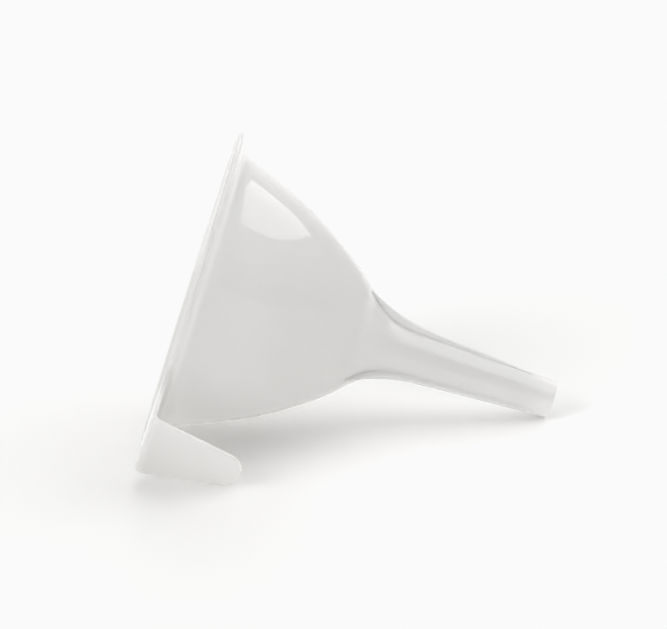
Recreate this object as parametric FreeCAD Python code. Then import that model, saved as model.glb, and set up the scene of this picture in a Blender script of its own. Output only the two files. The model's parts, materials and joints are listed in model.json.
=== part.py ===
import FreeCAD, Part
import math
import os

# A one-piece moulded plastic funnel that lies on its side on a table. It rests on three points: the
# brim, the end of the spout and the tip of the turned-down handle. Millimetres, +Z up.
#
# The moulding is drawn upright, round the Z axis, with its mouth in the plane Z = 0, the spout rising
# from it and the handle at +X. It is then turned about its own axis and laid down. Profile points are
# (height above the mouth, radius). The regions of the moulding meet face to face.

# --- overall size
RIM_R = 60.0
LENGTH = 138.5
WALL = 1.3

# --- brim: a rounded edge, and a shallow cone that drops from it to the bowl
LIP_T = 1.9
LIP_ROUND = 0.8
LIP_IN_R = 58.6
BRIM_IN_H = 0.4
BRIM_ROOT_OUT = (4.3, 52.6)
BRIM_ROOT_IN = (2.9, 51.8)

# --- bowl and throat: one smooth outer curve, then a straight tapered spout
WALL_CURVE = [BRIM_ROOT_OUT, (19.0, 46.6), (34.0, 39.9), (49.0, 30.8), (61.0, 21.6),
              (68.0, 15.0), (75.0, 11.3), (85.0, 9.65)]
START_SLOPE = -0.42
BOWL_END = 61.0
SPOUT_START = WALL_CURVE[-1][0]
SPOUT_START_R = WALL_CURVE[-1][1]
TIP_R = 6.85
TIP_ROUND = 0.3

# --- the last stretch of the spout, with a parallel bore
END_LENGTH = 12.0
BORE_R = 5.6

# --- handle: a bridge in the plane of the mouth, a bend, and a tongue that points along the spout
HANDLE_T = 1.5
HANDLE_OUT = 72.6
BEND_R = 3.0
ROOT_HALF = 17.7
TAPER = 0.277
TONGUE_END = 35.5
TONGUE_ROUND = 8.0
BRIDGE_FILLET = 8.0

# --- air vent ribs round the spout, the first in line with the handle
RIB_COUNT = 3
RIB_T = 1.2
RIB_EDGE = [(63.0, 19.8), (71.0, 15.9), (79.0, 13.1), (91.0, 11.05), (109.0, 9.45), (133.0, 7.0)]
RIB_INNER_R = 6.2
RIB_NAMES = ["vent_rib_front", "vent_rib_top", "vent_rib_back"]

# --- how deep the handle's outline reaches into the brim before it is cut
ROOT_DEPTH = 10.0

# --- the turns about the axis between which the handle comes to touch the floor, halved this many times
TURN_RANGE = (20.0, 90.0)
TURN_STEPS = 24

# --- longer than the whole part, for cutting shapes
BIG = 400.0

# --- from a quarter round's middle to either of its tangent lines, per millimetre of radius
ROUND_MID = 1.0 - math.sqrt(0.5)

ORIGIN = FreeCAD.Vector(0, 0, 0)
Y_AXIS = FreeCAD.Vector(0, 1, 0)
Z_AXIS = FreeCAD.Vector(0, 0, 1)


def at(point):
    """The vector for a profile point (height, radius)."""
    return FreeCAD.Vector(point[1], 0, point[0])


def line(a, b):
    return Part.LineSegment(at(a), at(b)).toShape()


def arc(a, middle, b):
    return Part.Arc(at(a), at(middle), at(b)).toShape()


def spline(points, first, last):
    """A smooth curve through profile points with the slopes dr/dh at its two ends."""
    curve = Part.BSplineCurve()
    curve.interpolate(
        Points=[at(p) for p in points],
        InitialTangent=FreeCAD.Vector(first, 0, 1),
        FinalTangent=FreeCAD.Vector(last, 0, 1),
    )
    return curve


def revolve(edges):
    face = Part.Face(Part.Wire(edges))
    return face.revolve(ORIGIN, Z_AXIS, 360)


def slab(low, high):
    """A disc that holds everything between two heights."""
    return Part.makeCylinder(BIG, high - low, FreeCAD.Vector(0, 0, low))


def spout_slope():
    return (TIP_R - SPOUT_START_R) / (LENGTH - SPOUT_START)


def outer_curve():
    return spline(WALL_CURVE, START_SLOPE, spout_slope())


def inner_point(curve, point):
    """The point one wall thickness inside the outer curve."""
    tangent = curve.tangent(curve.parameter(at(point)))[0]
    normal = FreeCAD.Vector(tangent.z, 0, -tangent.x)
    inside = at(point) - normal * WALL
    return (inside.z, inside.x)


def outline(hollow):
    """The closed profile of the bowl, throat and spout, hollow or filled to the axis."""
    curve = outer_curve()
    tip_out = (LENGTH - TIP_ROUND, TIP_R + spout_slope() * -TIP_ROUND)
    tip_mid = (LENGTH - ROUND_MID * TIP_ROUND, TIP_R - ROUND_MID * TIP_ROUND)
    tip_flat = (LENGTH, TIP_R - TIP_ROUND)
    edges = [curve.toShape(), line(WALL_CURVE[-1], tip_out), arc(tip_out, tip_mid, tip_flat)]
    if not hollow:
        axis_top, axis_base = (LENGTH, 0), (BRIM_ROOT_OUT[0], 0)
        return edges + [line(tip_flat, axis_top), line(axis_top, axis_base),
                        line(axis_base, BRIM_ROOT_OUT)]
    inside = [inner_point(curve, p) for p in WALL_CURVE]
    inside[0] = BRIM_ROOT_IN
    inside[-1] = (SPOUT_START, SPOUT_START_R - WALL)
    bore_top = (LENGTH - END_LENGTH, BORE_R)
    inner = spline(inside, START_SLOPE, spout_slope())
    return edges + [line(tip_flat, (LENGTH, BORE_R)), line((LENGTH, BORE_R), bore_top),
                    line(bore_top, inside[-1]), inner.toShape(), line(BRIM_ROOT_IN, BRIM_ROOT_OUT)]


def shell():
    return revolve(outline(hollow=True))


def rim_lip():
    inner_low, inner_high = (BRIM_IN_H, LIP_IN_R), (LIP_T, LIP_IN_R)
    land = (0, LIP_IN_R + BRIM_IN_H)
    low, high = (0, RIM_R - LIP_ROUND), (LIP_T, RIM_R - LIP_ROUND)
    side_low, side_high = (LIP_ROUND, RIM_R), (LIP_T - LIP_ROUND, RIM_R)
    bulge = ROUND_MID * LIP_ROUND
    return revolve([
        line(inner_high, inner_low),
        line(inner_low, land),
        line(land, low),
        arc(low, (bulge, RIM_R - bulge), side_low),
        line(side_low, side_high),
        arc(side_high, (LIP_T - bulge, RIM_R - bulge), high),
        line(high, inner_high),
    ])


def rim_flange():
    corners = [BRIM_ROOT_OUT, (LIP_T, LIP_IN_R), (BRIM_IN_H, LIP_IN_R), BRIM_ROOT_IN]
    return revolve([line(a, b) for a, b in zip(corners, corners[1:] + corners[:1])])


def prism(runs, direction):
    """A prism on a closed outline of straight runs and three-point arcs."""
    edges = []
    for run in runs:
        if len(run) == 2:
            edges.append(Part.LineSegment(*run).toShape())
        else:
            edges.append(Part.Arc(*run).toShape())
    return Part.Face(Part.Wire(edges)).extrude(direction)


def opposite(point):
    return FreeCAD.Vector(point.x, -point.y, point.z)


def mirrored(runs):
    """The same runs on the -Y side, backwards."""
    return [tuple(opposite(p) for p in reversed(run)) for run in reversed(runs)]


def half_width(height):
    return ROOT_HALF - TAPER * height


def tongue_mask():
    """The handle's outline seen along X: sides that draw in, and a rounded tip."""
    slant = math.atan(TAPER)
    centre_h = TONGUE_END - TONGUE_ROUND
    centre_y = half_width(centre_h) - TONGUE_ROUND / math.cos(slant)

    def on_round(angle):
        return FreeCAD.Vector(0, centre_y + TONGUE_ROUND * math.cos(angle),
                              centre_h + TONGUE_ROUND * math.sin(angle))

    root = FreeCAD.Vector(0, ROOT_HALF, 0)
    middle = (slant + math.pi / 2) / 2
    tip = FreeCAD.Vector(0, 0, TONGUE_END)
    side = [
        (root, on_round(slant)),
        (on_round(slant), on_round(middle), on_round(math.pi / 2)),
        (on_round(math.pi / 2), tip),
    ]
    runs = side + mirrored(side)
    runs.append((opposite(root), root))
    return prism(runs, FreeCAD.Vector(BIG, 0, 0))


def bridge_mask():
    """The bridge's outline seen along Z: straight sides that flare into the brim."""
    centre_y = ROOT_HALF + BRIDGE_FILLET
    reach = RIM_R + BRIDGE_FILLET
    centre_x = math.sqrt(reach ** 2 - centre_y ** 2)
    on_rim = math.atan2(centre_y, centre_x) + math.pi
    middle = (on_rim + 1.5 * math.pi) / 2

    def on_fillet(angle):
        return FreeCAD.Vector(centre_x + BRIDGE_FILLET * math.cos(angle),
                              centre_y + BRIDGE_FILLET * math.sin(angle), 0)

    outer = FreeCAD.Vector(HANDLE_OUT, ROOT_HALF, 0)
    inner = FreeCAD.Vector(LIP_IN_R - ROOT_DEPTH, on_fillet(on_rim).y, 0)
    side = [
        (outer, on_fillet(1.5 * math.pi)),
        (on_fillet(1.5 * math.pi), on_fillet(middle), on_fillet(on_rim)),
        (on_fillet(on_rim), inner),
    ]
    runs = side + [(inner, opposite(inner))] + mirrored(side)
    runs.append((opposite(outer), outer))
    return prism(runs, FreeCAD.Vector(0, 0, HANDLE_T))


def handle_bridge():
    depth = 2 * ROOT_DEPTH
    box = Part.makeBox(HANDLE_OUT - BEND_R - LIP_IN_R + depth, BIG, HANDLE_T,
                       FreeCAD.Vector(LIP_IN_R - depth, -BIG / 2, 0))
    inside = Part.makeCylinder(RIM_R - LIP_ROUND, HANDLE_T)
    return box.common(bridge_mask()).cut(inside).cut(rim_lip())


def handle_bend():
    centre = FreeCAD.Vector(HANDLE_OUT - BEND_R, -BIG / 2, BEND_R)
    outer = Part.makeCylinder(BEND_R, BIG, centre, Y_AXIS)
    inner = Part.makeCylinder(BEND_R - HANDLE_T, BIG, centre, Y_AXIS)
    quarter = Part.makeBox(BEND_R, BIG, BEND_R, FreeCAD.Vector(HANDLE_OUT - BEND_R, -BIG / 2, 0))
    return outer.cut(inner).common(quarter).common(tongue_mask())


def handle_tongue():
    plate = Part.makeBox(HANDLE_T, BIG, TONGUE_END - BEND_R,
                         FreeCAD.Vector(HANDLE_OUT - HANDLE_T, -BIG / 2, BEND_R))
    return plate.common(tongue_mask())


def vent_rib(index, filled):
    """A thin fin with its outer edge on a curve, cut back to the throat and the spout."""
    first, last = RIB_EDGE[0], RIB_EDGE[-1]
    curve = Part.BSplineCurve()
    curve.interpolate([at(p) for p in RIB_EDGE])
    inner_first, inner_last = (first[0], RIB_INNER_R), (last[0], RIB_INNER_R)
    edges = [curve.toShape(), line(last, inner_last), line(inner_last, inner_first),
             line(inner_first, first)]
    fin = Part.Face(Part.Wire(edges)).extrude(Y_AXIS * RIB_T)
    fin.translate(Y_AXIS * (-RIB_T / 2))
    fin.rotate(ORIGIN, Z_AXIS, -index * 360.0 / RIB_COUNT)
    return fin.cut(filled)


def moulding():
    """Every region of the upright moulding, by node name."""
    whole = shell()
    filled = revolve(outline(hollow=False))
    spout_end = LENGTH - END_LENGTH
    parts = {
        "rim_lip": rim_lip(),
        "rim_flange": rim_flange(),
        "bowl": whole.common(slab(0, BOWL_END)),
        "throat": whole.common(slab(BOWL_END, SPOUT_START)),
        "spout": whole.common(slab(SPOUT_START, spout_end)),
        "spout_end": whole.common(slab(spout_end, LENGTH)),
        "handle_bridge": handle_bridge(),
        "handle_bend": handle_bend(),
        "handle_tongue": handle_tongue(),
    }
    for index, name in enumerate(RIB_NAMES):
        parts[name] = vent_rib(index, filled)
    return parts


def lie_angle():
    """The slope of the axis when the brim's rounded edge and the spout's end touch the floor."""
    rise = (RIM_R - LIP_ROUND) - (TIP_R - TIP_ROUND)
    run = (LENGTH - TIP_ROUND) - LIP_ROUND
    tilt = math.asin((LIP_ROUND - TIP_ROUND) / math.hypot(rise, run))
    return math.degrees(math.atan2(rise, run) + tilt)


def laid(shape, turn):
    """The shape turned about the funnel's axis and laid down, spout towards +X."""
    moved = shape.copy()
    moved.rotate(ORIGIN, Z_AXIS, -turn)
    moved.rotate(ORIGIN, Y_AXIS, 90.0 + lie_angle())
    return moved


def lowest(shape):
    return shape.optimalBoundingBox(False, False).ZMin


def resting_turn(parts):
    """How far the funnel turns before the handle's tongue touches the floor."""
    low, high = TURN_RANGE
    floor = lowest(laid(parts["rim_lip"], 0.0))
    for _ in range(TURN_STEPS):
        middle = (low + high) / 2
        if lowest(laid(parts["handle_tongue"], middle)) < floor:
            low = middle
        else:
            high = middle
    return high


def main():
    os.makedirs("parts", exist_ok=True)
    parts = moulding()
    turn = resting_turn(parts)
    placed = {name: laid(shape, turn) for name, shape in parts.items()}
    box = Part.makeCompound(list(placed.values())).optimalBoundingBox(False, False)
    home = FreeCAD.Vector(-(box.XMin + box.XMax) / 2, -(box.YMin + box.YMax) / 2, -box.ZMin)
    for name, shape in placed.items():
        shape.translate(home)
        shape.exportStep("parts/" + name + ".step")
        print(name, len(shape.Solids), round(shape.Volume, 1), shape.isValid())
    print("slope", round(lie_angle(), 3), "turn", round(turn, 3))
    print("size", round(box.XLength, 2), round(box.YLength, 2), round(box.ZLength, 2))
    print("mouth centre", [round(c, 3) for c in home])


main()
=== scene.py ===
import json
import math

import bpy
import numpy as np
from mathutils import Matrix, Vector


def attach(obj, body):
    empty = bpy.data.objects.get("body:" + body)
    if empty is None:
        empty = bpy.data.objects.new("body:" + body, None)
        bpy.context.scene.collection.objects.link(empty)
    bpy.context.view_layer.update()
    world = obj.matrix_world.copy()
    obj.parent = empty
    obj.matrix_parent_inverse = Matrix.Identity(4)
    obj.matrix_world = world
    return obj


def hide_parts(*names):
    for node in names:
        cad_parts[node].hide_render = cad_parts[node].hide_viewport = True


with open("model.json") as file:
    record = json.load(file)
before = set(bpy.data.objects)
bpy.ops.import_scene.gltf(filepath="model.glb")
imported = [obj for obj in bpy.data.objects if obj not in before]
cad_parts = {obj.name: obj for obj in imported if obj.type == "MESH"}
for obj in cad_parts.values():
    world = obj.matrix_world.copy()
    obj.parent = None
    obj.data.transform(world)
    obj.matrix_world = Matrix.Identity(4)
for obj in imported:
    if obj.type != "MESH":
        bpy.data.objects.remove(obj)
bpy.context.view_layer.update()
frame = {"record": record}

# A one-piece moulded plastic funnel on its side, in a white studio. The moulding is shaped in its own
# frame, in millimetres: z runs along the axis from the mouth to the spout and x points at the handle.
# Profiles are (height above the mouth, radius). TO_ROW carries a shape to the row frame, in metres.
MM = 0.001
RIM_R = 60.0
LENGTH = 138.5
WALL = 1.3
LIP_T = 1.9
LIP_ROUND = 0.8
LIP_IN_R = 58.6
BRIM_IN_H = 0.4
BRIM_ROOT_OUT = (4.3, 52.6)
BRIM_ROOT_IN = (2.9, 51.8)
BLEND_FROM = 0.4  # the share of the brim's cone at which the soft turn into the bowl starts
BLEND_TO = 9.0
WALL_CURVE = [BRIM_ROOT_OUT, (19.0, 46.6), (34.0, 39.9), (49.0, 30.8), (61.0, 21.6),
              (68.0, 15.0), (75.0, 11.3), (85.0, 9.65)]
START_SLOPE = -0.42
BOWL_END = 61.0
SPOUT_START, SPOUT_START_R = WALL_CURVE[-1]
TIP_R = 6.85
TIP_ROUND = 0.3
SPOUT_SLOPE = (TIP_R - SPOUT_START_R) / (LENGTH - SPOUT_START)
END_LENGTH = 12.0
BORE_R = 5.6
BORE_ROUND = 0.15
HANDLE_T = 1.5
HANDLE_OUT = 72.6
BEND_R = 3.0
ROOT_HALF = 17.7
TAPER = 0.277
TONGUE_END = 35.5
TONGUE_ROUND = 8.0
BRIDGE_FILLET = 8.0
EDGE_ROUND = 0.35
RIB_T = 1.2
RIB_FILLET = 0.5
RIB_ROOT = 0.25
RIB_EDGE = [(63.0, 19.8), (71.0, 15.9), (79.0, 13.1), (91.0, 11.05), (109.0, 9.45), (133.0, 7.0)]
BORE_CENTRE = LENGTH - END_LENGTH / 2
TURNS = 240
SPOUT_TURNS = 144

record = frame["record"]
bore = next(m for m in record["mounts"] if m["name"] == "spout_bore")
gap = next(o for o in record["physics"]["openings"] if o["name"] == "finger_gap")
AXIS = Vector(bore["axis"]).normalized()
MOUTH = Vector(bore["pos_m"]) - AXIS * BORE_CENTRE * MM
GAP_CENTRE = (Vector(gap["box_m"][0]) + Vector(gap["box_m"][1])) / 2
OUT = GAP_CENTRE - MOUTH
OUT = (OUT - AXIS * OUT.dot(AXIS)).normalized()
SIDE = AXIS.cross(OUT)
TO_ROW = np.array([OUT, SIDE, AXIS]) * MM


# ---------------------------------------------------------------- curves
def clamped_spline(points, first, last, step):
    """A smooth curve through (height, radius) points with the end slopes dr/dh: samples and tangents."""
    points = np.array(points, float)
    chord = np.linalg.norm(np.diff(points, axis=0), axis=1)
    count = len(points)
    system = np.zeros((count, count))
    wanted = np.zeros((count, 2))
    system[0, 0] = system[-1, -1] = 1
    wanted[0] = np.array([1, first]) / math.hypot(1, first)
    wanted[-1] = np.array([1, last]) / math.hypot(1, last)
    for i in range(1, count - 1):
        before, after = chord[i - 1], chord[i]
        system[i, i - 1:i + 2] = after, 2 * (before + after), before
        wanted[i] = 3 * (after * (points[i] - points[i - 1]) / before
                         + before * (points[i + 1] - points[i]) / after)
    slopes = np.linalg.solve(system, wanted)
    samples, tangents = [], []
    for i in range(count - 1):
        n = max(2, int(math.ceil(chord[i] / step)))
        t = np.arange(n)[:, None] / n
        a, b = points[i], points[i + 1]
        c, d = slopes[i] * chord[i], slopes[i + 1] * chord[i]
        samples.append((2 * t**3 - 3 * t**2 + 1) * a + (t**3 - 2 * t**2 + t) * c
                       + (3 * t**2 - 2 * t**3) * b + (t**3 - t**2) * d)
        tangents.append((6 * t**2 - 6 * t) * a + (3 * t**2 - 4 * t + 1) * c
                        + (6 * t - 6 * t**2) * b + (3 * t**2 - 2 * t) * d)
    samples.append(points[-1:])
    tangents.append(slopes[-1:])
    samples, tangents = np.concatenate(samples), np.concatenate(tangents)
    return samples, tangents / np.linalg.norm(tangents, axis=1)[:, None]


def smooth_run(points, tangents, side):
    """Points with their normals, on the left (1) or the right (-1) of the way the run goes."""
    normals = np.stack([-tangents[:, 1], tangents[:, 0]], axis=1) * side
    return points, normals


def straight(a, b, side, step=None):
    """A straight run, in pieces no longer than the step."""
    a, b = np.array(a, float), np.array(b, float)
    n = 1 if step is None else max(1, int(math.ceil(np.linalg.norm(b - a) / step)))
    points = a + (b - a) * (np.arange(n + 1)[:, None] / n)
    tangents = np.repeat([(b - a) / np.linalg.norm(b - a)], n + 1, axis=0)
    return smooth_run(points, tangents, side)


def round_run(centre, radius, start, end, count):
    """An arc about centre; angles are measured from the height axis towards the radius axis."""
    angles = np.radians(np.linspace(start, end, count + 1))
    spokes = np.stack([np.cos(angles), np.sin(angles)], axis=1)
    return np.array(centre) + radius * spokes, spokes


# ---------------------------------------------------------------- mesh makers
def build(name, stands_for, verts, faces, normals):
    """A closed piece that stands for one CAD node."""
    world = np.array(verts) @ TO_ROW + np.array(MOUTH)
    mesh = bpy.data.meshes.new(name)
    mesh.from_pydata(world.tolist(), [], faces)
    mesh.polygons.foreach_set("use_smooth", [True] * len(faces))
    turned = np.array(normals) @ (TO_ROW / MM)
    mesh.normals_split_custom_set(turned.tolist())
    mesh.materials.append(PLASTIC)
    piece = bpy.data.objects.new(name, mesh)
    bpy.context.scene.collection.objects.link(piece)
    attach(piece, "root")
    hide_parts(stands_for)


def lathe(name, stands_for, runs, count=TURNS):
    """A closed profile, given as runs of (height, radius) points with normals, turned about the axis."""
    angles = np.arange(count) * 2 * math.pi / count
    circle = np.stack([np.cos(angles), np.sin(angles)], axis=1)
    rings = np.concatenate([points[:-1] for points, _ in runs])
    verts = np.zeros((len(rings), count, 3))
    verts[:, :, :2] = rings[:, 1][:, None, None] * circle
    verts[:, :, 2] = rings[:, 0][:, None]
    faces, corner_normals = [], []
    here = np.arange(count)
    nxt = (here + 1) % count
    ring = 0
    for points, normals in runs:
        for i in range(len(points) - 1):
            a, b = ring * count, (ring + 1) % len(rings) * count
            quad = np.stack([a + here, a + nxt, b + nxt, b + here], axis=1)
            spun = np.zeros((count, 4, 3))
            for corner, (k, n) in enumerate([(here, i), (nxt, i), (nxt, i + 1), (here, i + 1)]):
                spun[:, corner, :2] = normals[n][1] * circle[k]
                spun[:, corner, 2] = normals[n][0]
            run_way = points[i + 1] - points[i]
            outward = run_way[0] * normals[i][1] - run_way[1] * normals[i][0]
            if outward < 0:
                quad, spun = quad[:, ::-1], spun[:, ::-1]
            faces.extend(quad.tolist())
            corner_normals.append(spun.reshape(-1, 3))
            ring += 1
    build(name, stands_for, verts.reshape(-1, 3), faces, np.concatenate(corner_normals))


def facing(verts, corners, normals):
    """The face's corners and normals in the order that makes it face its normals."""
    loop = [np.array(verts[c]) for c in corners]
    area = sum(np.cross(loop[i], loop[(i + 1) % len(loop)]) for i in range(len(loop)))
    if area.dot(sum(np.array(n) for n in normals)) < 0:
        return corners[::-1], normals[::-1]
    return corners, normals


def loft(name, stands_for, sections, ends):
    """Closed loops joined one to the next, with flat ends. A section is (points, normals). The first end
    settles which way round every face goes, so that the whole surface faces outwards."""
    verts = [point for points, _ in sections for point in points]
    size, last = len(sections[0][0]), len(sections) - 1
    first_loop, last_loop = list(range(size))[::-1], [last * size + i for i in range(size)]
    sheets = [(first_loop, [ends[0]] * size), (last_loop, [ends[1]] * size)]
    for s in range(last):
        first, second = sections[s][1], sections[s + 1][1]
        for i in range(size):
            j = (i + 1) % size
            corners = [s * size + i, s * size + j, (s + 1) * size + j, (s + 1) * size + i]
            sheets.append((corners, [first[i], first[j], second[j], second[i]]))
    if facing(verts, first_loop, [ends[0]] * size)[0] != first_loop:
        sheets = [(corners[::-1], normals[::-1]) for corners, normals in sheets]
    faces = [corners for corners, _ in sheets]
    build(name, stands_for, verts, faces, [normal for _, normals in sheets for normal in normals])


def edge_levels(half, rounding, count=5):
    """The rounded edge of a sheet: (inset, offset across the thickness, share outward, share across)."""
    levels = []
    for sign, angles in ((-1, np.linspace(90, 0, count + 1)), (1, np.linspace(0, 90, count + 1))):
        for angle in np.radians(angles):
            levels.append((rounding * (1 - math.cos(angle)),
                           sign * (half - rounding + rounding * math.sin(angle)),
                           math.cos(angle), sign * math.sin(angle)))
    return levels


def plate(name, stands_for, outline, insets, outwards, free, put, way):
    """A flat sheet with rounded free edges. put() carries (u, v, across) to the funnel's frame and
    way() does the same for a direction."""
    levels = edge_levels(HANDLE_T / 2, EDGE_ROUND)
    size = len(outline)
    verts = []
    for inset, across, _, _ in levels:
        verts.extend(put(*(outline[i] + insets[i] * inset), across) for i in range(size))
    faces, corner_normals = [], []
    for k in range(len(levels) - 1):
        low, high = levels[k], levels[k + 1]
        for i in range(size):
            j = (i + 1) % size
            corners = [k * size + i, k * size + j, (k + 1) * size + j, (k + 1) * size + i]
            if free[i]:
                normals = [way(*(outwards[p] * level[2]), level[3])
                           for p, level in ((i, low), (j, low), (j, high), (i, high))]
            else:
                along = outline[j] - outline[i]
                flat = way(along[1], -along[0], 0.0)
                normals = [flat] * 4
                middle = (outline[i] + outline[j]) / 2
                if np.dot([along[1], -along[0]], middle - outline.mean(axis=0)) < 0:
                    normals = [-np.array(flat)] * 4
            corners, normals = facing(verts, corners, normals)
            faces.append(corners)
            corner_normals.extend(normals)
    for k, across in ((0, -1.0), (len(levels) - 1, 1.0)):
        corners, normals = facing(verts, [k * size + i for i in range(size)],
                                  [way(0.0, 0.0, across)] * size)
        faces.append(corners)
        corner_normals.extend(normals)
    build(name, stands_for, verts, faces, corner_normals)


# ---------------------------------------------------------------- the moulding's wall
def wall_runs(low, high):
    """The outer run and the inner run of the bowl's and throat's wall between two heights."""
    keep = (OUTER[:, 0] >= low - 1e-6) & (OUTER[:, 0] <= high + 1e-6)
    points, tangents = OUTER[keep], OUTER_WAY[keep]
    inside = points - np.stack([-tangents[:, 1], tangents[:, 0]], axis=1) * WALL
    outer = smooth_run(points, tangents, 1)
    inner = smooth_run(inside[::-1], -tangents[::-1], 1)
    return outer, inner


def make_lip():
    low, high = (LIP_ROUND, RIM_R - LIP_ROUND), (LIP_T - LIP_ROUND, RIM_R - LIP_ROUND)
    land = (0.0, LIP_IN_R + BRIM_IN_H)
    lathe("brim_edge", "rim_lip", [
        straight((LIP_T, LIP_IN_R), (BRIM_IN_H, LIP_IN_R), 1),
        round_run((BRIM_IN_H, LIP_IN_R + BRIM_IN_H), BRIM_IN_H, 270, 180, 4),
        straight(land, (0.0, RIM_R - LIP_ROUND), 1),
        round_run(low, LIP_ROUND, 180, 90, 8),
        straight((LIP_ROUND, RIM_R), (LIP_T - LIP_ROUND, RIM_R), 1),
        round_run(high, LIP_ROUND, 90, 0, 8),
        straight((LIP_T, RIM_R - LIP_ROUND), (LIP_T, LIP_IN_R), 1),
    ])


def brim_blend(lip, root, wall_point, wall_way):
    """The soft turn from the brim's cone into the wall: its points and tangents."""
    lip, root = np.array(lip), np.array(root)
    start = lip + (root - lip) * BLEND_FROM
    first = (root[1] - lip[1]) / (root[0] - lip[0])
    return clamped_spline([start, wall_point], first, wall_way[1] / wall_way[0], 0.4)


def brim_blends():
    """The wall's two runs above the soft turn, and the turn itself outside and inside."""
    low = OUTER[OUTER[:, 0] >= BLEND_TO][0, 0]
    outer, inner = wall_runs(low, BOWL_END)
    way = OUTER_WAY[OUTER[:, 0] >= BLEND_TO][0]
    outside = brim_blend((LIP_T, LIP_IN_R), BRIM_ROOT_OUT, outer[0][0], way)
    inside = brim_blend((BRIM_IN_H, LIP_IN_R), BRIM_ROOT_IN, inner[0][-1], way)
    return outer, inner, outside, inside


def make_flange():
    _, _, (out, out_way), (into, into_way) = brim_blends()
    half, half_in = len(out) // 2, len(into) // 2
    lathe("brim_cone", "rim_flange", [
        straight((LIP_T, LIP_IN_R), out[0], 1, 1.0),
        smooth_run(out[:half + 1], out_way[:half + 1], 1),
        straight(out[half], into[half_in], 1),
        smooth_run(into[half_in::-1], -into_way[half_in::-1], 1),
        straight(into[0], (BRIM_IN_H, LIP_IN_R), 1, 1.0),
        straight((BRIM_IN_H, LIP_IN_R), (LIP_T, LIP_IN_R), 1),
    ])


def make_bowl():
    outer, inner, (out, out_way), (into, into_way) = brim_blends()
    half, half_in = len(out) // 2, len(into) // 2
    lathe("bowl_wall", "bowl", [
        smooth_run(out[half:], out_way[half:], 1),
        outer,
        straight(outer[0][-1], inner[0][0], 1),
        inner,
        smooth_run(into[:half_in - 1:-1], -into_way[:half_in - 1:-1], 1),
        straight(into[half_in], out[half], 1),
    ])


def make_throat():
    outer, inner = wall_runs(BOWL_END, SPOUT_START)
    lathe("throat_wall", "throat", [outer, straight(outer[0][-1], inner[0][0], 1), inner,
                                    straight(inner[0][-1], outer[0][0], 1)])


def spout_outer(height):
    """The spout's outer radius."""
    return SPOUT_START_R + SPOUT_SLOPE * (height - SPOUT_START)


def make_spout():
    top = LENGTH - END_LENGTH
    inner_low = wall_runs(BOWL_END, SPOUT_START)[1][0][0]
    outer_low, outer_high = (SPOUT_START, SPOUT_START_R), (top, spout_outer(top))
    lathe("spout_tube", "spout", [
        straight(outer_low, outer_high, 1, 2.0),
        straight(outer_high, (top, BORE_R), 1),
        straight((top, BORE_R), inner_low, 1, 2.0),
        straight(inner_low, outer_low, 1),
    ], SPOUT_TURNS)


def make_spout_end():
    low = LENGTH - END_LENGTH
    round_at = LENGTH - TIP_ROUND
    lathe("spout_tip", "spout_end", [
        straight((low, spout_outer(low)), (round_at, spout_outer(round_at)), 1, 2.0),
        round_run((round_at, spout_outer(round_at) - TIP_ROUND), TIP_ROUND, 90, 0, 5),
        straight((LENGTH, spout_outer(round_at) - TIP_ROUND), (LENGTH, BORE_R + BORE_ROUND), 1),
        round_run((LENGTH - BORE_ROUND, BORE_R + BORE_ROUND), BORE_ROUND, 0, -90, 4),
        straight((LENGTH - BORE_ROUND, BORE_R), (low, BORE_R), 1, 2.0),
        straight((low, BORE_R), (low, spout_outer(low)), 1),
    ], SPOUT_TURNS)


# ---------------------------------------------------------------- the handle
def half_width(height):
    """Half the handle's width at a height above the mouth."""
    return ROOT_HALF - TAPER * height


def mirrored_outline(side, inward, insets):
    """The whole outline from its +v side: points, inset directions and outward directions."""
    flip = np.array([1.0, -1.0])
    outline = np.concatenate([side, side[::-1] * flip])
    insets = np.concatenate([insets, insets[::-1] * flip])
    outwards = -np.concatenate([inward, inward[::-1] * flip])
    return outline, insets, outwards


def make_tongue():
    slant = math.atan(TAPER)
    centre_u = TONGUE_END - TONGUE_ROUND
    centre_v = half_width(centre_u) - TONGUE_ROUND / math.cos(slant)
    angles = np.linspace(slant, math.pi / 2, 15)
    spokes = np.stack([np.sin(angles), np.cos(angles)], axis=1)
    arc = np.array([centre_u, centre_v]) + TONGUE_ROUND * spokes
    root = np.array([[BEND_R, half_width(BEND_R)]])
    side = np.concatenate([root, arc])
    inward = -np.concatenate([[spokes[0]], spokes])
    insets = inward.copy()
    insets[0] = (0.0, -1.0 / math.cos(slant))
    outline, insets, outwards = mirrored_outline(side, inward, insets)
    free = [True] * (len(outline) - 1) + [False]
    middle = HANDLE_OUT - HANDLE_T / 2
    plate("handle_flap", "handle_tongue", outline, insets, outwards, free,
          lambda u, v, across: (middle + across, v, u), lambda u, v, across: (across, v, u))


def make_bridge():
    centre_v = ROOT_HALF + BRIDGE_FILLET
    centre_u = math.sqrt((RIM_R + BRIDGE_FILLET) ** 2 - centre_v**2)
    last = math.atan2(centre_v, centre_u) + math.pi
    angles = np.linspace(last, 1.5 * math.pi, 13)
    spokes = np.stack([np.cos(angles), np.sin(angles)], axis=1)
    arc = np.array([centre_u, centre_v]) + BRIDGE_FILLET * spokes
    root = np.array([arc[0] - [2.0, 0.0]])
    end = np.array([[HANDLE_OUT - BEND_R, ROOT_HALF]])
    side = np.concatenate([root, arc, end])
    inward = np.concatenate([[spokes[0]], spokes, [spokes[-1]]])
    insets = inward.copy()
    insets[0] = (0.0, -1.0)
    outline, insets, outwards = mirrored_outline(side, inward, insets)
    free = [True] * len(outline)
    free[len(side) - 1] = free[-1] = False
    plate("handle_bridge_sheet", "handle_bridge", outline, insets, outwards, free,
          lambda u, v, across: (u, v, HANDLE_T / 2 - across), lambda u, v, across: (u, v, -across))


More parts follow.
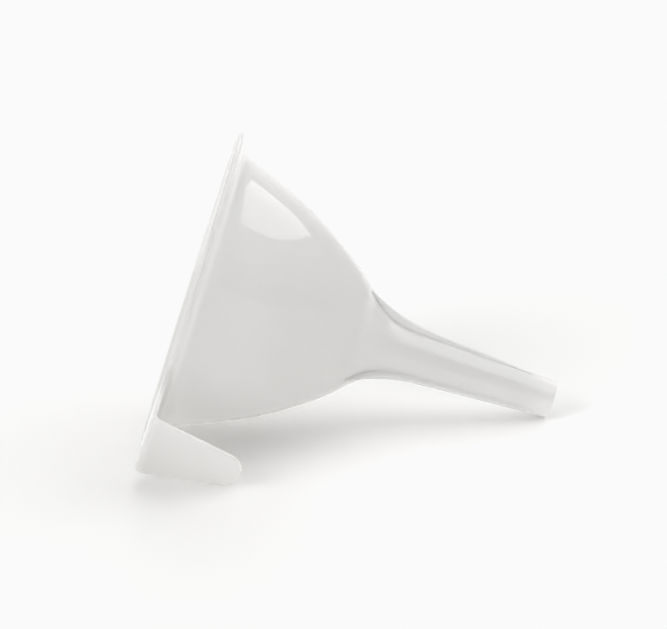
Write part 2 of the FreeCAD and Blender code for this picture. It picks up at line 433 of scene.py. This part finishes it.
def make_bend():
    levels = edge_levels(HANDLE_T / 2, EDGE_ROUND)
    loop = [(level, 1) for level in levels] + [(level, -1) for level in levels[::-1]]
    sections = []
    for turn in np.radians(np.linspace(0, 90, 19)):
        outward = np.array([math.sin(turn), 0.0, -math.cos(turn)])
        along = np.array([math.cos(turn), 0.0, math.sin(turn)])
        lean = math.atan(TAPER * math.sin(turn))
        points, normals = [], []
        for (inset, across, share_out, share_across), side in loop:
            spot = np.array([HANDLE_OUT - BEND_R, 0.0, BEND_R]) + outward * (BEND_R - HANDLE_T / 2 + across)
            reach = half_width(spot[2] if turn else 0.0) - inset / math.cos(lean)
            spot[1] = side * reach
            points.append(spot)
            edge = np.array([0.0, side * math.cos(lean), 0.0]) + along * math.sin(lean)
            normals.append(edge * share_out + outward * share_across)
        sections.append((points, normals))
    loft("handle_curve", "handle_bend", sections, ((-1.0, 0.0, 0.0), (0.0, 0.0, 1.0)))


# ---------------------------------------------------------------- the fins
def outer_radius(height):
    """The wall's outer radius under a fin."""
    if height > SPOUT_START:
        return spout_outer(height)
    return float(np.interp(height, OUTER[:, 0], OUTER[:, 1]))


def fin_section(height, edge_r, turn):
    """One slice across a fin: a straight-sided wall with a rounded crest and a small blend at its foot."""
    wall_r = outer_radius(height)
    rise = edge_r - wall_r
    crest = min(0.4, max(0.02, rise * 0.5))
    blend = min(RIB_FILLET, max(0.02, rise * 0.45))
    half = RIB_T / 2
    profile = [(wall_r - RIB_ROOT, half + blend, 1.0, 0.0)]
    turned = np.array([[math.cos(turn), math.sin(turn)], [-math.sin(turn), math.cos(turn)]])
    for angle in np.radians(np.linspace(90, 0, 7)):
        q, y = blend * (1 - math.sin(angle)), half + blend * (1 - math.cos(angle))
        profile.append((wall_r + q, y, math.cos(angle), math.sin(angle)))
    for angle in np.radians(np.linspace(0, 90, 7)):
        q, y = rise - crest + crest * math.sin(angle), half - crest + crest * math.cos(angle)
        profile.append((wall_r + q, y, math.cos(angle), math.sin(angle)))
    points, normals = [], []
    for side, steps in ((1, profile), (-1, profile[::-1])):
        for radius, y, share_side, share_out in steps:
            x = math.sqrt(radius**2 - y**2)
            spot = np.array([x, side * y])
            normal = np.array([share_out, side * share_side])
            points.append(np.append(spot @ turned, height))
            normals.append(np.append(normal @ turned, 0.0))
    return points, normals


def make_fin(name, stands_for, turn):
    edge, _ = clamped_spline(RIB_EDGE, -0.5, -0.1, 0.8)
    rises = np.array([r - outer_radius(h) for h, r in edge])
    keep = rises > 0.03
    sections = [fin_section(h, r, turn) for (h, r), ok in zip(edge, keep) if ok]
    loft(name, stands_for, sections, ((0.0, 0.0, -1.0), (0.0, 0.0, 1.0)))


# ---------------------------------------------------------------- materials
SEE_THROUGH_BOWL, SEE_THROUGH_SPOUT = 0.65, 0.45
WALL_THICKENS = (45.0, 85.0)
SWEEP_BOUNCE = 0.12


def node(tree, kind, **values):
    """A new shader node with its settings."""
    made = tree.nodes.new(kind)
    for key, value in values.items():
        setattr(made, key, value)
    return made


def white_plastic():
    """Thin gloss polypropylene: it lets some light through, under a clear reflection. Slow tone and
    gloss changes, a faint flow waviness and a fine texture are all procedural."""
    material = bpy.data.materials.new("white_plastic_gloss")
    material.use_nodes = True
    tree = material.node_tree
    tree.nodes.clear()
    link = tree.links.new
    coords = node(tree, "ShaderNodeTexCoord")

    def noise(scale, detail, roughness=0.5):
        made = node(tree, "ShaderNodeTexNoise")
        made.inputs["Scale"].default_value = scale
        made.inputs["Detail"].default_value = detail
        made.inputs["Roughness"].default_value = roughness
        link(coords.outputs["Object"], made.inputs["Vector"])
        return made

    tone = node(tree, "ShaderNodeValToRGB")
    tone.color_ramp.elements[0].position = 0.35
    tone.color_ramp.elements[0].color = (0.898, 0.894, 0.887, 1)
    tone.color_ramp.elements[1].position = 0.65
    tone.color_ramp.elements[1].color = (0.916, 0.913, 0.907, 1)
    link(noise(22.0, 3.0).outputs["Fac"], tone.inputs["Fac"])

    gloss = node(tree, "ShaderNodeMapRange")
    gloss.inputs["From Min"].default_value = 0.3
    gloss.inputs["From Max"].default_value = 0.7
    gloss.inputs["To Min"].default_value = 0.035
    gloss.inputs["To Max"].default_value = 0.06
    link(noise(140.0, 4.0).outputs["Fac"], gloss.inputs["Value"])

    flow = node(tree, "ShaderNodeBump")
    flow.inputs["Strength"].default_value = 0.15
    flow.inputs["Distance"].default_value = 0.0004
    link(noise(38.0, 1.0, 0.3).outputs["Fac"], flow.inputs["Height"])
    fine = node(tree, "ShaderNodeBump")
    fine.inputs["Strength"].default_value = 0.1
    fine.inputs["Distance"].default_value = 0.00001
    link(noise(2600.0, 3.0).outputs["Fac"], fine.inputs["Height"])
    link(flow.outputs["Normal"], fine.inputs["Normal"])

    scatter = node(tree, "ShaderNodeBsdfDiffuse")
    through = node(tree, "ShaderNodeBsdfTranslucent")
    shine = node(tree, "ShaderNodeBsdfGlossy")
    for part in (scatter, through):
        link(tone.outputs["Color"], part.inputs["Color"])
    link(gloss.outputs["Result"], shine.inputs["Roughness"])
    shine.inputs["Color"].default_value = (1, 1, 1, 1)
    for part in (scatter, shine):
        link(fine.outputs["Normal"], part.inputs["Normal"])

    along = node(tree, "ShaderNodeVectorMath", operation="DOT_PRODUCT")
    link(coords.outputs["Object"], along.inputs[0])
    along.inputs[1].default_value = AXIS
    thin = node(tree, "ShaderNodeMapRange", interpolation_type="SMOOTHSTEP")
    link(along.outputs["Value"], thin.inputs["Value"])
    thin.inputs["From Min"].default_value = MOUTH.dot(AXIS) + WALL_THICKENS[0] * MM
    thin.inputs["From Max"].default_value = MOUTH.dot(AXIS) + WALL_THICKENS[1] * MM
    thin.inputs["To Min"].default_value = SEE_THROUGH_BOWL
    thin.inputs["To Max"].default_value = SEE_THROUGH_SPOUT
    body = node(tree, "ShaderNodeMixShader")
    link(thin.outputs["Result"], body.inputs["Fac"])
    link(scatter.outputs["BSDF"], body.inputs[1])
    link(through.outputs["BSDF"], body.inputs[2])
    fresnel = node(tree, "ShaderNodeFresnel")
    fresnel.inputs["IOR"].default_value = 1.49
    link(fine.outputs["Normal"], fresnel.inputs["Normal"])
    facing_in = node(tree, "ShaderNodeNewGeometry")
    outside = node(tree, "ShaderNodeMath", operation="SUBTRACT")
    outside.inputs[0].default_value = 1.0
    link(facing_in.outputs["Backfacing"], outside.inputs[1])
    share = node(tree, "ShaderNodeMath", operation="MULTIPLY")
    link(fresnel.outputs["Fac"], share.inputs[0])
    link(outside.outputs["Value"], share.inputs[1])
    surface = node(tree, "ShaderNodeMixShader")
    link(share.outputs["Value"], surface.inputs["Fac"])
    link(body.outputs["Shader"], surface.inputs[1])
    link(shine.outputs["BSDF"], surface.inputs[2])
    output = node(tree, "ShaderNodeOutputMaterial")
    link(surface.outputs["Shader"], output.inputs["Surface"])
    return material


def paper_white():
    """The pale matt sweep that the funnel lies on. It sends a little more light up to the funnel than
    the camera sees, as a wide sweep that is lit from all round does."""
    material = bpy.data.materials.new("studio_sweep")
    material.use_nodes = True
    tree = material.node_tree
    shader = tree.nodes["Principled BSDF"]
    shader.inputs["Base Color"].default_value = (0.950, 0.946, 0.939, 1)
    shader.inputs["Roughness"].default_value = 0.7
    shader.inputs["Specular IOR Level"].default_value = 0.2
    shader.inputs["Emission Color"].default_value = (1, 1, 1, 1)
    path = node(tree, "ShaderNodeLightPath")
    unseen = node(tree, "ShaderNodeMapRange")
    tree.links.new(path.outputs["Is Camera Ray"], unseen.inputs["Value"])
    unseen.inputs["To Min"].default_value = SWEEP_BOUNCE
    unseen.inputs["To Max"].default_value = 0.0
    tree.links.new(unseen.outputs["Result"], shader.inputs["Emission Strength"])
    return material


# ---------------------------------------------------------------- studio
WHITE_LIMIT = 0.956
EVEN_FILL = 0.14
GLOWS = [
    # (towards the light, power of its fall-off, radiance)
    ((-0.72, -0.68, 0.15), 10.0, 2.50),
    ((0.0, 1.0, 0.18), 5.0, 1.20),
    ((1.0, 0.0, 0.18), 5.0, 0.75),
]
SOFTBOXES = [
    # each lies level overhead, its sides given as slopes from the vertical, with how soft each side is:
    # (turn, left and right sides, softness, near and far sides, softness, radiance)
    (15.0, (-0.40, 1.58), (0.10, 0.02), (-0.50, 2.25), (0.20, 0.03), 1.15),
    (15.0, (-1.40, -0.30), (0.20, 0.20), (-1.60, -0.60), (0.20, 0.20), 3.15),
]
SHINE_GAIN = 1.75


def math_node(tree, operation, first, second=None):
    made = node(tree, "ShaderNodeMath", operation=operation)
    for index, value in enumerate((first, second)):
        if isinstance(value, (int, float)):
            made.inputs[index].default_value = value
        elif value is not None:
            tree.links.new(value, made.inputs[index])
    return made.outputs[0]


def towards(tree, direction):
    """How far the view direction points along a direction."""
    coords = node(tree, "ShaderNodeTexCoord")
    made = node(tree, "ShaderNodeVectorMath", operation="DOT_PRODUCT")
    tree.links.new(coords.outputs["Generated"], made.inputs[0])
    made.inputs[1].default_value = direction
    return made.outputs["Value"]


def glow(tree, direction, power, radiance):
    """A wide soft light round one direction."""
    aimed = math_node(tree, "MAXIMUM", towards(tree, Vector(direction).normalized()), 0.0)
    return math_node(tree, "MULTIPLY", math_node(tree, "POWER", aimed, power), radiance)


def step(tree, value, side, soft):
    """0 below a side and 1 above it, with a soft edge; a negative softness turns it round."""
    made = node(tree, "ShaderNodeMapRange", interpolation_type="SMOOTHSTEP")
    tree.links.new(value, made.inputs["Value"])
    made.inputs["From Min"].default_value = side - soft
    made.inputs["From Max"].default_value = side + soft
    return made.outputs["Result"]


def between(tree, value, sides, softs):
    """1 between two sides and 0 outside them."""
    return math_node(tree, "MULTIPLY", step(tree, value, sides[0], softs[0]),
                     step(tree, value, sides[1], -softs[1]))


def softbox(tree, turn, wide, wide_soft, deep, deep_soft, radiance):
    """A level panel overhead, seen by direction."""
    turn = math.radians(turn)
    height = towards(tree, (0.0, 0.0, 1.0))
    above = math_node(tree, "GREATER_THAN", height, 0.0)
    height = math_node(tree, "MAXIMUM", height, 1e-4)
    across = towards(tree, (math.cos(turn), -math.sin(turn), 0.0))
    along = towards(tree, (math.sin(turn), math.cos(turn), 0.0))
    inside = math_node(tree, "MULTIPLY",
                       between(tree, math_node(tree, "DIVIDE", across, height), wide, wide_soft),
                       between(tree, math_node(tree, "DIVIDE", along, height), deep, deep_soft))
    return math_node(tree, "MULTIPLY", math_node(tree, "MULTIPLY", inside, above), radiance)


def studio_world():
    """A white studio: an even fill, low glows and softboxes, and a plain backdrop for the camera. The
    softboxes show brighter in reflections than they light, as bare panels do."""
    world = bpy.data.worlds.new("studio")
    bpy.context.scene.world = world
    world.use_nodes = True
    tree = world.node_tree
    tree.nodes.clear()
    light = EVEN_FILL
    for direction, power, radiance in GLOWS:
        light = math_node(tree, "ADD", light, glow(tree, direction, power, radiance))
    path = node(tree, "ShaderNodeLightPath")
    gain = math_node(tree, "ADD", 1.0,
                     math_node(tree, "MULTIPLY", path.outputs["Is Glossy Ray"], SHINE_GAIN - 1.0))
    for box in SOFTBOXES:
        light = math_node(tree, "ADD", light, math_node(tree, "MULTIPLY", softbox(tree, *box), gain))
    chosen = node(tree, "ShaderNodeMix", data_type="FLOAT")
    tree.links.new(path.outputs["Is Camera Ray"], chosen.inputs["Factor"])
    tree.links.new(light, chosen.inputs["A"])
    chosen.inputs["B"].default_value = WHITE_LIMIT
    background = node(tree, "ShaderNodeBackground")
    tree.links.new(chosen.outputs["Result"], background.inputs["Strength"])
    background.inputs["Color"].default_value = (1, 1, 1, 1)
    output = node(tree, "ShaderNodeOutputWorld")
    tree.links.new(background.outputs["Background"], output.inputs["Surface"])


def white_limit():
    """The sweep is lit until it is plain white; every tone above that white is held at it."""
    view = bpy.context.scene.view_settings
    view.view_transform = "Standard"
    view.use_curve_mapping = True
    mapping = view.curve_mapping
    mapping.extend = "HORIZONTAL"
    tones = mapping.curves[3].points
    tones[-1].location = (1.0, WHITE_LIMIT)
    tones.new(WHITE_LIMIT, WHITE_LIMIT)
    for point in tones:
        point.handle_type = "VECTOR"
    mapping.update()


def studio_floor():
    """The sweep, wide enough to fill every view."""
    bpy.ops.mesh.primitive_circle_add(vertices=96, radius=8.0, fill_type="NGON")
    floor = bpy.context.object
    floor.name = "studio_floor"
    floor.data.materials.append(paper_white())


# ---------------------------------------------------------------- camera
HEADING = math.radians(2.93)
ELEVATION = math.radians(18.48)
ROLL = math.radians(-3.47)
DISTANCE = 1.0
LENS = 148.0
AIM_ALONG = 61.0
AIM_RIGHT = -6.1
AIM_UP = 7.9


def make_camera():
    """A long lens from the front, a little above the funnel."""
    back = Vector((math.sin(HEADING) * math.cos(ELEVATION), -math.cos(HEADING) * math.cos(ELEVATION),
                   math.sin(ELEVATION)))
    level = Vector((0, 0, 1)).cross(back).normalized()
    upright = back.cross(level)
    right = level * math.cos(ROLL) + upright * math.sin(ROLL)
    up = upright * math.cos(ROLL) - level * math.sin(ROLL)
    aim = MOUTH + (AXIS * AIM_ALONG + right * AIM_RIGHT + up * AIM_UP) * MM
    camera = bpy.data.objects.new("camera", bpy.data.cameras.new("camera"))
    bpy.context.scene.collection.objects.link(camera)
    turn = Matrix((right, up, back)).transposed().to_4x4()
    camera.matrix_world = Matrix.Translation(aim + back * DISTANCE) @ turn
    camera.data.lens = LENS
    camera.data.sensor_width = 36.0
    camera.data.clip_start = 0.05
    camera.data.clip_end = 50.0
    bpy.context.scene.camera = camera


OUTER, OUTER_WAY = clamped_spline(WALL_CURVE, START_SLOPE, SPOUT_SLOPE, 0.6)
PLASTIC = white_plastic()
make_lip()
make_flange()
make_bowl()
make_throat()
make_spout()
make_spout_end()
make_bridge()
make_bend()
make_tongue()
make_fin("fin_front", "vent_rib_front", 0.0)
make_fin("fin_top", "vent_rib_top", math.radians(-120))
make_fin("fin_back", "vent_rib_back", math.radians(120))
studio_world()
studio_floor()
make_camera()
white_limit()
